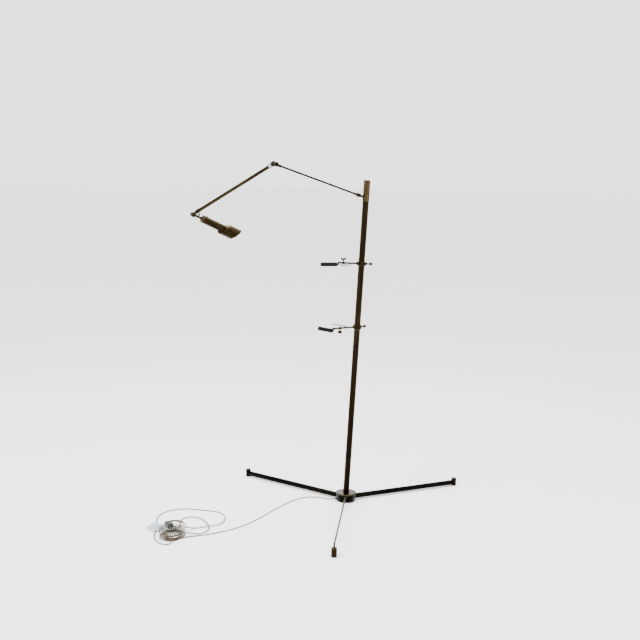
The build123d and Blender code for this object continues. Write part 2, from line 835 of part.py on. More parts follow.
outer_shade = shade_solid(0)
inner_shade = shade_solid(shade_wall)
head_screw_x = head_start + 18.0
head_screw_out = 3.0
with BuildPart() as shade:
    add(outer_shade)
    add(inner_shade, mode=Mode.SUBTRACT)
    with BuildSketch(facing(wrist, "z", x=head_screw_x)):
        Circle(1.5)
    extrude(amount=-2 * shade_tube_radius, mode=Mode.SUBTRACT)
store(shade, "shade")

holder_back = head_screw_x - holder_plate / 2
holder_front = 104.0
with BuildPart() as lamp_holder:
    revolve(
        outline(facing(wrist, "side"), [
            (holder_back, 0),
            (holder_back, shade_bore),
            (holder_back + holder_plate, shade_bore),
            (holder_back + holder_plate, holder_radius),
            (holder_front, holder_radius),
            (holder_front, 7.2),
            (holder_front - 22, 7.2),
            (holder_front - 22, 0),
        ]),
        axis=way(wrist, "x"),
    )
    with BuildSketch(facing(wrist, "z", x=head_screw_x)):
        Circle(1.5)
    extrude(amount=-2 * shade_tube_radius, mode=Mode.SUBTRACT)
store(lamp_holder, "lamp_holder")

with BuildPart() as head_screw:
    revolve(
        outline(facing(facing(wrist, "z", x=head_screw_x), "side"), [
            (0, 0),
            (1.5, 0),
            (1.5, -shade_tube_radius),
            (3.6, -shade_tube_radius),
            (3.6, -shade_tube_radius - head_screw_out + 1),
            (2.6, -shade_tube_radius - head_screw_out),
            (0, -shade_tube_radius - head_screw_out),
        ]),
        axis=way(facing(wrist, "z", x=head_screw_x), "z"),
    )
store(head_screw, "head_screw")

bulb_tip = 172.0
bulb_cap_end = holder_front + 2
with BuildPart() as bulb:
    with BuildSketch(facing(wrist, "side")):
        with BuildLine():
            Polyline((holder_front - 21, 0), (holder_front - 21, 6.8), (bulb_cap_end, 6.8),
                     (bulb_cap_end + 12, 9.5))
            Spline((bulb_cap_end + 12, 9.5), (bulb_tip - bulb_radius - 10, bulb_radius),
                   (bulb_tip, 0), tangents=[(1, 0.35), (0, -1)])
            Line((bulb_tip, 0), (holder_front - 21, 0))
        make_face()
    revolve(axis=way(wrist, "x"))
store(bulb, "bulb")

# ---- picture clamps -------------------------------------------------------------
# Each clamp has its own frame on the mast: +X runs out along its arm, and side is +1
# or -1 for the way along the mast that its leaf and its jaw open.

liner_radius = mast_radius + slip + liner_wall
collar_radius = liner_radius + slip + collar_wall
boss_out = collar_radius + boss_length
lock_boss_out = collar_radius + lock_boss_length
lock_knob_start = lock_boss_out + lock_knob_clear
half_collar = collar_height / 2
half_eye = eye_height / 2
half_lug = 3.0
arm_start = collar_radius - 2
edge_bevel = 1.5
wing_thick = 3.5


def clamp_liner(frame):
    """The bush that slides on the mast, with a thin flange above and below."""
    with BuildPart() as liner:
        with BuildSketch(facing(frame, "z", z=-half_collar - gap)):
            Circle(liner_radius)
        extrude(amount=collar_height + 2 * gap)
        for z in (-half_collar - gap - liner_flange, half_collar + gap):
            with BuildSketch(facing(frame, "z", z=z)):
                Circle(liner_radius + liner_lip)
            extrude(amount=liner_flange)
        with BuildSketch(facing(frame, "z", z=-collar_height)):
            Circle(mast_radius + slip)
        extrude(amount=2 * collar_height, mode=Mode.SUBTRACT)
    return liner


def clamp_collar(frame):
    """The turned collar: a boss for the arm in front and one for the screw behind."""
    with BuildPart() as collar:
        with BuildSketch(facing(frame, "z", z=-half_collar)):
            Circle(collar_radius)
        extrude(amount=collar_height)
        chamfer(collar.edges().filter_by(GeomType.CIRCLE), edge_bevel)
        for boss_end, boss_radius in ((boss_out, arm_rod_radius + 2),
                                      (-lock_boss_out, lock_screw_radius + 2.4)):
            root = liner_radius + 1 if boss_end > 0 else -liner_radius - 1
            revolve(
                outline(facing(frame, "side"), [
                    (root, 0),
                    (root, half_collar - 0.5),
                    (boss_end, boss_radius),
                    (boss_end, 0),
                ]),
                axis=way(frame, "x"),
            )
        with BuildSketch(facing(frame, "z", z=-half_collar)):
            Circle(liner_radius + slip)
        extrude(amount=collar_height, mode=Mode.SUBTRACT)
        with BuildSketch(facing(frame, "x", x=arm_start)):
            Circle(arm_rod_radius)
        extrude(amount=boss_out, mode=Mode.SUBTRACT)
        with BuildSketch(facing(frame, "x")):
            Circle(lock_screw_radius + slip)
        extrude(amount=-2 * lock_boss_out, mode=Mode.SUBTRACT)
    return collar


def clamp_lock_knob(frame):
    """The oval knob behind the collar, on its screw."""
    knob_end = -lock_knob_start - lock_knob_length
    knob_root = lock_screw_radius + 0.8
    with BuildPart() as lock_knob:
        with BuildSketch(facing(frame, "x", x=-liner_radius - gap)):
            Circle(lock_screw_radius)
        extrude(amount=liner_radius + gap - lock_knob_start - 2)
        with BuildSketch(facing(frame, "side")):
            with BuildLine():
                Line((-lock_knob_start, 0), (-lock_knob_start, knob_root))
                ThreePointArc(
                    (-lock_knob_start, knob_root),
                    (-lock_knob_start - lock_knob_length * 0.55, lock_knob_radius),
                    (knob_end, lock_screw_radius),
                )
                Line((knob_end, lock_screw_radius), (knob_end, 0))
                Line((knob_end, 0), (-lock_knob_start, 0))
            make_face()
        revolve(axis=way(frame, "x"))
    return lock_knob


def clamp_arm(frame, side, reach, screw, leaf_root):
    """The rod with its eye for the thumb screw and cross pins for the leaf and jaw."""
    jaw_pivot = reach + jaw_pin_inset
    rod_end = reach - jaw_gap
    lug_start = rod_end - 2 * half_lug
    pin_z = side * leaf_pin_drop
    with BuildPart() as arm:
        with BuildSketch(facing(frame, "x", x=arm_start)):
            Circle(arm_rod_radius)
        extrude(amount=rod_end - arm_start)
        with BuildSketch(facing(frame, "z", x=screw, z=-half_eye)):
            Circle(eye_radius)
        extrude(amount=eye_height)
        with BuildSketch(facing(frame, "y", x=jaw_pivot, y=-half_lug, z=-jaw_drop)):
            Circle(jaw_eye_radius)
        extrude(amount=2 * half_lug)
        with BuildSketch(facing(frame, "side", y=half_lug)):
            with BuildLine():
                Polyline(
                    (lug_start, arm_rod_radius),
                    (rod_end, arm_rod_radius),
                    (rod_end, -jaw_drop + jaw_lug_half),
                    (jaw_pivot, -jaw_drop + jaw_lug_half),
                    (jaw_pivot, -jaw_drop - jaw_lug_half),
                    (lug_start, -jaw_drop - jaw_lug_half),
                    close=True,
                )
            make_face()
        extrude(amount=2 * half_lug)
        with BuildSketch(facing(frame, "y", x=jaw_pivot, z=-jaw_drop)):
            Circle(jaw_pin_radius)
        extrude(amount=jaw_size / 2, both=True)
        with BuildSketch(facing(frame, "side", x=leaf_root, y=half_lug)):
            with Locations((0, pin_z / 2)):
                Rectangle(2 * half_lug, leaf_pin_drop + 5)
        extrude(amount=2 * half_lug)
        with BuildSketch(facing(frame, "y", x=leaf_root, z=pin_z)):
            Circle(leaf_pin_radius)
        extrude(amount=leaf_width / 2, both=True)
        with BuildSketch(facing(frame, "z", x=screw, z=-eye_height)):
            Circle(thumb_radius + slip)
        extrude(amount=2 * eye_height, mode=Mode.SUBTRACT)
    return arm


def clamp_leaf(frame, side, leaf_root, leaf_length, leaf_open):
    """The padded leaf, with two ears on the arm's cross pin."""
    leaf_frame = tilted(frame, side * leaf_open, x=leaf_root, z=side * leaf_pin_drop)
    plate_start = 4.0
    ear_start = half_lug + gap
    with BuildPart() as leaf:
        with BuildSketch(facing(leaf_frame, "z", z=-leaf_thick / 2)):
            with Locations(((plate_start + leaf_length) / 2, 0)):
                RectangleRounded(leaf_length - plate_start, leaf_width, 2)
        extrude(amount=leaf_thick)
        for y in (-leaf_width / 2, ear_start):
            with BuildSketch(facing(leaf_frame, "y", y=y)):
                Circle(leaf_thick)
                with Locations((0, half_lug)):
                    Rectangle(leaf_thick, 2 * half_lug)
            extrude(amount=leaf_width / 2 - ear_start)
        with BuildSketch(facing(leaf_frame, "y", y=-leaf_width)):
            Circle(leaf_pin_radius + slip)
        extrude(amount=2 * leaf_width, mode=Mode.SUBTRACT)
        with BuildSketch(facing(leaf_frame, "z", x=leaf_length / 2 + plate_start,
                                z=side * leaf_thick / 2)):
            RectangleRounded(leaf_length - 3 * plate_start, leaf_width - 2, 2)
        extrude(amount=side * leaf_pad)
    return leaf


def clamp_thumb_screw(frame, side, screw, wings):
    """The screw through the arm's eye: a winged knob above, or a round one below."""
    knob = half_eye + thumb_knob_out
    with BuildPart() as thumb_screw:
        with BuildSketch(facing(frame, "z", x=screw, z=side * (half_eye - 1))):
            Circle(thumb_radius)
        extrude(amount=-side * (eye_height + thumb_knob_out))
        if wings:
            with BuildSketch(facing(frame, "z", x=screw, z=-side * (knob - wing_hub / 2))):
                Circle(wing_hub / 2)
            extrude(amount=-side * wing_hub)
            for wing in (-1, 1):
                with BuildSketch(facing(frame, "side", x=screw, y=wing_thick / 2)):
                    with Locations((wing * wing_out, -side * (knob + 4))):
                        Ellipse(*wing_size, rotation=-side * wing * 25)
                extrude(amount=wing_thick)
        else:
            with BuildSketch(facing(frame, "z", x=screw, z=-side * (knob - 3))):
                Circle(drum_radius)
            extrude(amount=-side * drum_height)
            chamfer(thumb_screw.edges().filter_by(GeomType.CIRCLE).group_by(
                SortBy.RADIUS)[-1], edge_bevel)
    return thumb_screw


def clamp_jaw(jaw_frame, side):
    """The channel that grips a picture frame, closed at its outer end."""
    with BuildPart() as jaw:
        with BuildSketch(facing(jaw_frame, "x", x=-jaw_pin_inset)):
            Rectangle(jaw_size, jaw_size)
            with Locations((0, side * jaw_wall)):
                Rectangle(jaw_size - 2 * jaw_wall, jaw_size, mode=Mode.SUBTRACT)
        extrude(amount=jaw_length)
        with BuildSketch(facing(jaw_frame, "x", x=jaw_length - jaw_pin_inset)):
            Rectangle(jaw_size, jaw_size)
        extrude(amount=-jaw_wall)
        with BuildSketch(facing(jaw_frame, "y", y=-jaw_size)):
            Circle(jaw_pin_radius + slip)
        extrude(amount=2 * jaw_size, mode=Mode.SUBTRACT)
    return jaw


def clamp_jaw_lining(jaw_frame, side):
    """The soft lining inside the channel."""
    lining_start = jaw_eye_radius + 4
    inner = jaw_size - 2 * jaw_wall
    with BuildPart() as lining:
        with BuildSketch(facing(jaw_frame, "x", x=lining_start)):
            with Locations((0, side * jaw_wall / 2)):
                Rectangle(inner, jaw_size - jaw_wall)
            with Locations((0, side * (jaw_wall / 2 + lining_thick))):
                Rectangle(inner - 2 * lining_thick, jaw_size - jaw_wall,
                          mode=Mode.SUBTRACT)
        extrude(amount=jaw_length - jaw_pin_inset - jaw_wall - lining_start)
    return lining


for name, c in clamps.items():
    clamp = mast_frame(c["height"], c["heading"])
    side = c["side"]
    jaw_place = tilted(clamp, c["jaw_rise"], x=c["reach"] + jaw_pin_inset, z=-jaw_drop)
    store(clamp_liner(clamp), f"{name}_liner")
    store(clamp_collar(clamp), f"{name}_collar")
    store(clamp_lock_knob(clamp), f"{name}_lock_knob")
    store(clamp_arm(clamp, side, c["reach"], c["screw"], c["leaf_root"]), f"{name}_arm")
    store(clamp_leaf(clamp, side, c["leaf_root"], c["leaf_length"], c["leaf_open"]),
          f"{name}_leaf")
    store(clamp_thumb_screw(clamp, side, c["screw"], c["wings"]), f"{name}_thumb_screw")
    store(clamp_jaw(jaw_place, side), f"{name}_jaw")
    store(clamp_jaw_lining(jaw_place, side), f"{name}_jaw_lining")

# ---- foot switch, plug and flex -------------------------------------------------

switch_top = Plane(origin=(*switch_centre, switch_height))
with BuildPart() as switch_base:
    with BuildSketch(Plane(origin=(*switch_centre, 0))):
        Circle(switch_radius)
    extrude(amount=switch_tier)
    fillet(switch_base.faces().sort_by(Axis.Z)[-1].edges(), 3)
    with BuildSketch(Plane(origin=(*switch_centre, switch_tier))):
        Circle(switch_neck_radius)
    extrude(amount=switch_height - switch_tier, taper=12)
    with BuildSketch(switch_top):
        Circle(button_radius + gap)
    extrude(amount=-(button_skirt + button_travel + 1), mode=Mode.SUBTRACT)
store(switch_base, "switch_base")

with BuildPart() as switch_button:
    with BuildSketch(switch_top.offset(-button_skirt)):
        Circle(button_radius)
    extrude(amount=button_skirt + button_rise)
    fillet(switch_button.faces().sort_by(Axis.Z)[-1].edges(), 2.5)
store(switch_button, "switch_button")

coil_top = Plane(origin=(*coil_centre, 0))
with BuildPart() as cord_coil:
    with BuildSketch(coil_top):
        Ellipse(*coil_radii)
        Ellipse(*coil_hole, mode=Mode.SUBTRACT)
    extrude(amount=coil_height)
    fillet(cord_coil.faces().sort_by(Axis.Z)[-1].edges(), 8)
store(cord_coil, "cord_coil")

plug_frame = Plane(origin=(*plug_place, coil_height + 0.2), x_dir=heading(plug_heading),
                   z_dir=(0, 0, 1))
plug_long, plug_wide, plug_tall = plug_size
with BuildPart() as plug:
    with BuildSketch(plug_frame):
        RectangleRounded(plug_long, plug_wide, 6)
    extrude(amount=plug_tall)
    fillet(plug.faces().group_by(Axis.Z)[-1].edges(), 4)
    with BuildSketch(facing(plug_frame, "x", x=plug_long / 2 - 1, z=plug_tall / 2)):
        with Locations((-plug_pin_pitch / 2 + 1, 0), (plug_pin_pitch / 2 - 1, 0)):
            Circle(plug_pin_radius)
    extrude(amount=plug_pin_length + 1)
store(plug, "plug")

# The flex lies on the floor. It leaves the hub, is heaped in a loose tangle, and runs
# on to the foot switch; the mains side leaves the switch's back, makes a wide turn
# over its own inner loop, and goes back into the tangle, where its plug lies.
floor = cord_radius + 0.1
over = 3 * cord_radius + 1.0
lead_route = [
    (-51.3, -9.05, 8.0), (-65, -11, 6.5), (-84, -8, 3.6), (-110, 8, floor),
    (-142, 18, floor), (-178, 15, floor), (-212, -5, floor), (-243, -38, floor),
    (-272, -88, floor), (-299.7, -143.5, floor), (-325.7, -202, floor),
    (-350.4, -263, floor), (-376.7, -323.7, floor), (-405.3, -378.7, floor),
    (-437.8, -426.8, floor), (-474.9, -468.7, floor), (-515.3, -504.5, floor),
    (-556.5, -532.8, floor), (-595.7, -552.8, floor), (-630, -567, floor),
    (-660, -588, floor),
]
inner_route = [
    (-702, -502, 9.8), (-698, -473, 6), (-702, -442, floor), (-711, -408, floor),
    (-713, -375, floor), (-703, -346, floor), (-680, -330, floor), (-652, -333, floor),
    (-624, -352, floor), (-600, -382, floor), (-582, -418, floor), (-570, -454, floor),
    (-568, -488, floor), (-578, -516, floor), (-600, -534, floor), (-630, -541, 6),
    (-660, -539, 11.5),
]
outer_route = [
    (-806, -453, 6.5), (-810, -434, 4.5), (-817, -408, floor), (-824, -372, floor),
    (-824, -325, floor), (-806, -278, floor), (-770, -245, floor),
    (-726, -230, floor), (-676, -232, floor), (-630, -241, floor), (-585, -244, floor),
    (-549, -266, floor), (-526, -308, floor), (-519, -358, floor), (-527, -404, 4),
    (-547, -437, over), (-578, -455, over), (-612, -466, 4), (-640, -476, 5),
    (-664, -488, 13), (-686, -497, 20.5),
]
tail_route = [
    (-722, -612, 17), (-704, -624, 12.5), (-691, -643, 6), (-694, -664, floor),
    (-714, -673, floor), (-738, -662, floor), (-759, -638, floor),
    (-776, -606, floor), (-785, -573, 3.5), (-788, -548, 5.0), (-787.3, -523.5, 6.5),
]


def cord_tube(name, route):
    """A round tube along straight runs joined by the largest arcs that they allow."""
    corners = [Vector(*point) for point in route]
    radii = []
    for before, corner, after in zip(corners, corners[1:], corners[2:]):
        turn = (corner - before).get_angle(after - corner)
        shorter = min((corner - before).length, (after - corner).length)
        radii.append(0.45 * shorter / tan(radians(turn) / 2))
    with BuildPart() as tube:
        with BuildLine() as path:
            FilletPolyline(*corners, radius=radii)
        with BuildSketch(Plane(origin=path.line @ 0, z_dir=path.line % 0)):
            Circle(cord_radius)
        sweep()
    store(tube, name)
    length = path.wire().length
    ratio = tube.part.volume / (pi * cord_radius**2 * length)
    print(f"{name}: length {length:.0f}, tightest arc {min(radii):.0f}, "
          f"volume over section x length {ratio:.4f}")


cord_tube("cord_lead", lead_route)
cord_tube("cord_inner_loop", inner_route)
cord_tube("cord_outer_loop", outer_route)
cord_tube("cord_tail", tail_route)
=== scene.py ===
# %% [markdown]
# # Adjustable brass floor lamp with picture clamps
#
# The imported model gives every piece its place. This script adds the camera, the flex,
# the sleeves at the foot switch and the materials, each from the positions that the
# frame gives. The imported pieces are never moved: only their materials are set.

# %% The frame
import json
from math import cos, pi, radians, sin, tau

import bmesh
import bpy
from mathutils import Matrix, Vector


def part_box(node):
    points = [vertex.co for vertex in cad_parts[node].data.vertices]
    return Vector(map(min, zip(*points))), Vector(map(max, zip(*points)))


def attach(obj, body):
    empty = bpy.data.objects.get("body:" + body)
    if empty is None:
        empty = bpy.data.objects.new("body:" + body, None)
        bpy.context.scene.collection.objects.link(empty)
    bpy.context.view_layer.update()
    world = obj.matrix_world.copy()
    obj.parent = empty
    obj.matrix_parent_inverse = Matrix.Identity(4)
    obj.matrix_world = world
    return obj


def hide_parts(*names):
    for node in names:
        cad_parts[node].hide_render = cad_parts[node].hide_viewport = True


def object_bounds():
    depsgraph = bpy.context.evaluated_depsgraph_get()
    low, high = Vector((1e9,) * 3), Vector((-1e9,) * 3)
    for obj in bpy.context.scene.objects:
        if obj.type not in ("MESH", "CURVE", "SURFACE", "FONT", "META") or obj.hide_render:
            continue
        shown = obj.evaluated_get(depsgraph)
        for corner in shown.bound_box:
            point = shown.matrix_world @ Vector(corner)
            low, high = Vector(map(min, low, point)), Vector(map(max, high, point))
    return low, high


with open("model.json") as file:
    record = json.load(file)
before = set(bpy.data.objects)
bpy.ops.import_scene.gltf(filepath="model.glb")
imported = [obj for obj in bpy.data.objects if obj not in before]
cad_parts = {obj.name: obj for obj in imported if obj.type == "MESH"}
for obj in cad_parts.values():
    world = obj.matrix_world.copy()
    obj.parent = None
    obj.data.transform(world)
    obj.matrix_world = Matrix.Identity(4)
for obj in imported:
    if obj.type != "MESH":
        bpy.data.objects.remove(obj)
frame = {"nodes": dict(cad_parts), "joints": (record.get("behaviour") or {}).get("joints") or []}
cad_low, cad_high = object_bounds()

scene = bpy.context.scene
nodes = frame["nodes"]
joints = {joint["name"]: joint for joint in frame["joints"]}


def pivot(name):
    """A hinge's place, in metres."""
    return Vector(joints[name]["pos_m"])


def axis(name):
    """A joint's direction."""
    return Vector(joints[name]["axis"]).normalized()


# %% [markdown]
# ## Camera
# A tall thin lamp is best seen from far away through a long lens, so that its mast stays
# straight. The camera is a little above the lamp's middle and looks slightly down. Its
# directions are worked out from a pitch and a roll, and then it goes round the hub by
# the turn, which is simpler than three angles for the whole of it.

# %% Camera
pitch, roll, turn = radians(8.9), radians(-0.88), radians(5.3)
aim = Vector((-0.137, 0.0, 0.870))
distance = 4.649
lens, sensor = 56.25, 36
forward = Vector((0, cos(pitch), -sin(pitch)))
level = Vector((1, 0, 0))
upward = Vector((0, sin(pitch), cos(pitch)))
across = level * cos(roll) - upward * sin(roll)
raised = level * sin(roll) + upward * cos(roll)
stand = Matrix((across, raised, -forward)).transposed().to_4x4()
stand.translation = aim - forward * distance
camera = bpy.data.objects.new("camera", bpy.data.cameras.new("camera"))
camera.data.lens = lens
camera.data.sensor_width = sensor
camera.matrix_world = Matrix.Rotation(turn, 4, "Z") @ stand
scene.collection.objects.link(camera)
scene.camera = camera
print("camera at", [round(value, 3) for value in camera.matrix_world.translation])

# %% [markdown]
# ## The flex's routes
# Two lengths of twisted flex. The first leaves the hub, goes round the bottom of the
# heap, makes a loop behind it, goes round again and ends in the foot switch. The second
# leaves the switch's back, makes a wide turn over the first one's loop, and goes round
# the top of the heap to its plug. The open runs are listed points, and the turns
# in the heap come from a loop that changes their size and height, so that no two turns
# meet. Every group of turns lies above the one before, and the top ones are tilted.

# %% Routes
flex = 0.005
floor_level = 0.0026
heap_low, heap_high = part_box("cord_coil")
heap = (heap_low + heap_high) / 2
heap_radii = (heap_high - heap_low) / 2


full_lift = 1 / 3  # part of the turns after which they have their whole tilt


def turns(start, sweep, sizes, heights, shift=(0, 0), wave=(0.0, 0.0), lift=0.0,
          steps=12):
    """Loose turns round the heap: sizes and heights go from the first to the last.

    lift raises the turns' far side, little by little over the first third of them.
    """
    count = round(abs(sweep) / 360 * steps)
    points = []
    for i in range(count + 1):
        part = i / count
        angle = radians(start + sweep * part)
        size = sizes[0] + (sizes[1] - sizes[0]) * part
        size *= 1 + wave[0] * cos(2 * angle + wave[1])
        points.append((
            heap.x + shift[0] + heap_radii.x * size * cos(angle),
            heap.y + shift[1] + heap_radii.y * size * sin(angle),
            heights[0] + (heights[1] - heights[0]) * part
            + lift * min(1.0, part / full_lift) * (1 + sin(angle)) / 2,
        ))
    return points


lead = [
    (-0.0513, -0.00905, 0.008), (-0.065, -0.011, 0.0065), (-0.084, -0.008, 0.0036),
    (-0.110, 0.008, 0.0026), (-0.142, 0.018, 0.0026), (-0.178, 0.015, 0.0026),
    (-0.212, -0.005, 0.0026), (-0.243, -0.038, 0.0026), (-0.272, -0.088, 0.0026),
    (-0.2997, -0.1435, 0.0026), (-0.3257, -0.202, 0.0026), (-0.3504, -0.263, 0.0026),
    (-0.3767, -0.3237, 0.0026), (-0.4053, -0.3787, 0.0026), (-0.4378, -0.4268, 0.0026),
    (-0.4749, -0.4687, 0.0026), (-0.5153, -0.5045, 0.0026), (-0.5565, -0.5328, 0.0026),
    (-0.5957, -0.5528, 0.0026), (-0.630, -0.567, 0.0026), (-0.660, -0.588, 0.0026),
]
inner_loop = [
    (-0.743, -0.552, 0.005), (-0.731, -0.530, 0.0085), (-0.714, -0.513, 0.0098),
    (-0.702, -0.494, 0.0098), (-0.698, -0.473, 0.0060), (-0.702, -0.442, 0.0026),
    (-0.711, -0.408, 0.0026), (-0.713, -0.375, 0.0026), (-0.703, -0.346, 0.0026),
    (-0.680, -0.330, 0.0026), (-0.652, -0.333, 0.0026), (-0.624, -0.352, 0.0026),
    (-0.600, -0.382, 0.0026), (-0.582, -0.418, 0.0026), (-0.570, -0.454, 0.0026),
    (-0.568, -0.488, 0.0026), (-0.578, -0.516, 0.0026), (-0.600, -0.534, 0.0026),
    (-0.630, -0.541, 0.006), (-0.660, -0.539, 0.0115), (-0.684, -0.527, 0.0128),
]
tail = [
    (-0.704, -0.624, 0.0125), (-0.691, -0.643, 0.006), (-0.694, -0.664, 0.0026),
    (-0.714, -0.673, 0.0026), (-0.738, -0.662, 0.0026), (-0.759, -0.638, 0.0026),
    (-0.776, -0.606, 0.0026), (-0.785, -0.573, 0.0035), (-0.788, -0.548, 0.005),
    (-0.7873, -0.5235, 0.0065),
]
outer_loop = [
    (-0.806, -0.453, 0.0065), (-0.810, -0.434, 0.0045), (-0.817, -0.408, 0.0026),
    (-0.824, -0.372, 0.0026), (-0.824, -0.325, 0.0026),
    (-0.806, -0.278, 0.0026), (-0.770, -0.245, 0.0026), (-0.726, -0.230, 0.0026),
    (-0.676, -0.232, 0.0026), (-0.630, -0.241, 0.0026), (-0.585, -0.244, 0.0026),
    (-0.549, -0.266, 0.0026), (-0.526, -0.308, 0.0026), (-0.519, -0.358, 0.0026),
    (-0.527, -0.404, 0.004), (-0.547, -0.437, 0.0085), (-0.578, -0.455, 0.0085),
    (-0.612, -0.466, 0.004), (-0.640, -0.476, 0.005), (-0.664, -0.488, 0.013),
    (-0.686, -0.497, 0.0205),
]
plug_low, plug_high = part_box("plug")
plug_level = (plug_low.z + plug_high.z) / 2
plug_end = [(-0.742, -0.5365, plug_level - 0.004), (-0.744, -0.549, plug_level - 0.002),
            (-0.7342, -0.5561, plug_level)]
bottom_turns = turns(-66, -1176, (1.02, 0.50), (floor_level, floor_level),
                     shift=(0.002, 0), wave=(0.02, 1.0))
middle_turns = turns(95, 1235, (0.50, 0.96), (0.0132, 0.0188), wave=(0.03, 2.6))
top_turns = turns(98, 1112, (1.08, 0.52), (0.0243, 0.0300), shift=(0.003, -0.001),
                  wave=(0.03, 4.4), lift=0.022)
first_route = lead + bottom_turns + inner_loop + middle_turns + tail
second_route = outer_loop + top_turns + plug_end
print(len(first_route), "and", len(second_route), "points on the two routes")

# %% [markdown]
# ## The line of a route
# A cord bends smoothly, so its points are the control points of a NURBS curve. The
# curve is read back as a row of points, because the flex's mesh has to follow it.


# %% Line of a route
def along(route):
    """Points on the smooth NURBS line that has the route's points as control points."""
    curve = bpy.data.curves.new("route", "CURVE")
    curve.dimensions = "3D"
    spline = curve.splines.new("NURBS")
    spline.points.add(len(route) - 1)
    for point, place in zip(spline.points, route):
        point.co = (*place, 1)
    spline.order_u = 3
    spline.use_endpoint_u = True
    spline.resolution_u = 12
    holder = bpy.data.objects.new("route", curve)
    scene.collection.objects.link(holder)
    mesh = bpy.data.meshes.new_from_object(holder)
    points = [vertex.co.copy() for vertex in mesh.vertices]
    bpy.data.objects.remove(holder)
    return points


def run_length(points):
    """The length of the row of points."""
    return sum((b - a).length for a, b in zip(points, points[1:]))


# %% [markdown]
# ## Helpers for new pieces
# `to_object` turns a bmesh into a finished object, and `basis` makes a frame to place it
# with. A small round piece is turned, as on a lathe: `turned` spins its section about an
# axis, so every step of the section becomes a ring.


# %% Helpers
def to_object(name, bm, body, smooth=True):
    """A finished piece at the origin that rides on a body."""
    bmesh.ops.recalc_face_normals(bm, faces=bm.faces)
    mesh = bpy.data.meshes.new(name)
    bm.to_mesh(mesh)
    bm.free()
    for polygon in mesh.polygons:
        polygon.use_smooth = smooth
    piece = bpy.data.objects.new(name, mesh)
    scene.collection.objects.link(piece)
    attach(piece, body)
    return piece


def basis(origin, z_way, x_way=None):
    """A frame at a point with Z along z_way and X as near to x_way as it can be."""
    z_way = z_way.normalized()
    if x_way is None:
        x_way = Vector((0, 0, 1)) if abs(z_way.z) < 0.9 else Vector((1, 0, 0))
    x_way = (x_way - z_way * x_way.dot(z_way)).normalized()
    y_way = z_way.cross(x_way)
    matrix = Matrix((x_way, y_way, z_way)).transposed().to_4x4()
    matrix.translation = origin
    return matrix


def turned(name, outline, matrix, body, steps=32):
    """A closed outline of (radius, height) points, spun about the frame's Z axis."""
    bm = bmesh.new()
    verts = [bm.verts.new((radius, 0, height)) for radius, height in outline]
    edges = [bm.edges.new(pair) for pair in zip(verts, verts[1:] + verts[:1])]
    bmesh.ops.spin(bm, geom=verts + edges, angle=tau, steps=steps, axis=(0, 0, 1),
                   cent=(0, 0, 0), use_merge=True)
    bmesh.ops.remove_doubles(bm, verts=bm.verts, dist=1e-6)
    bmesh.ops.transform(bm, matrix=matrix, verts=bm.verts)
    return to_object(name, bm, body, smooth=False)


# %% [markdown]
# ## Twisted flex
# The flex is two cores twisted about each other. A bevelled curve would make one smooth
# tube, so each core is built as rings of points that circle the line, a full turn for
# every pitch, and the rings are joined with faces.


# %% Twisted flex
core_share, offset_share = 0.30, 0.20  # of the flex's diameter


def flex_mesh(name, points, body, pitch=0.017, sides=8):
    """Two cores twisted about the line through the points."""
    bm = bmesh.new()
    core = flex * core_share
    offset = flex * offset_share
    normal = (points[1] - points[0]).cross(Vector((0, 0, 1))).normalized()
    rings = ([], [])
    run = 0.0
    for i, point in enumerate(points):
        before, after = points[max(i - 1, 0)], points[min(i + 1, len(points) - 1)]
        forward = (after - before).normalized()
        normal = (normal - forward * normal.dot(forward)).normalized()
        side = forward.cross(normal)
        run += (point - before).length
        for strand in (0, 1):
            angle = tau * run / pitch + pi * strand
            middle = point + (normal * cos(angle) + side * sin(angle)) * offset
            ring = []
            for k in range(sides):
                around = tau * k / sides
                spoke = normal * cos(around) + side * sin(around)
                ring.append(bm.verts.new(middle + spoke * core))
            rings[strand].append(ring)
    for strand in rings:
        for first, second in zip(strand, strand[1:]):
            for k in range(sides):
                m = (k + 1) % sides
                bm.faces.new((first[k], first[m], second[m], second[k]))
        bm.faces.new(strand[0])
        bm.faces.new(strand[-1])
    return to_object(name, bm, body)


# %% [markdown]
# ## Flex
# Both lengths are made and take the place of the plain solids that stood for them. The
# length of each is printed.

# %% Flex
first_line = along(first_route)
second_line = along(second_route)
flex_to_switch = flex_mesh("flex_to_switch", first_line, "base")
flex_to_plug = flex_mesh("flex_to_plug", second_line, "base")
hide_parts("cord_lead", "cord_inner_loop", "cord_tail", "cord_coil")
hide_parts("cord_outer_loop")
print("flex lengths", round(run_length(first_line), 3), round(run_length(second_line), 3))

# %% [markdown]
# ## Sleeves at the foot switch
# The flex passes through a short ribbed sleeve where it enters the switch and where it
# leaves, so that it isn't bent sharply at the moulding. The ribs are steps in an
# outline, which is spun about the flex.

# %% Sleeves
def ribbed_outline(bore, root, tip, ribs, pitch):
    """A sleeve's section: ribs that get smaller from the root to the tip."""
    outline = [(bore, 0)]
    for i in range(ribs):
        outer = root + (tip - root) * i / (ribs - 1)
        low, high = i * pitch, (i + 0.6) * pitch
        outline += [(outer, low), (outer, high), (outer - 0.0007, high),
                    (outer - 0.0007, low + pitch)]
    return outline + [(bore, ribs * pitch)]


sleeve_section = ribbed_outline(0.0026, 0.0052, 0.0042, 4, 0.0026)
switch_sleeves = []
for name, start, beyond in (("sleeve_in", tail[-1], tail[-2]),
                            ("sleeve_out", outer_loop[0], outer_loop[1])):
    way_out = Vector(beyond) - Vector(start)
    switch_sleeves.append(turned(name, sleeve_section, basis(Vector(start), way_out),
                                 "base"))
print(len(switch_sleeves), "sleeves at the switch")

# %% [markdown]
# ## Node helpers
# Every material is a small node graph on the piece's own coordinates, so that a pattern
# stays on its piece when the lamp moves. These helpers add a node and link its inputs
# in one call, which keeps the materials below short enough to read.


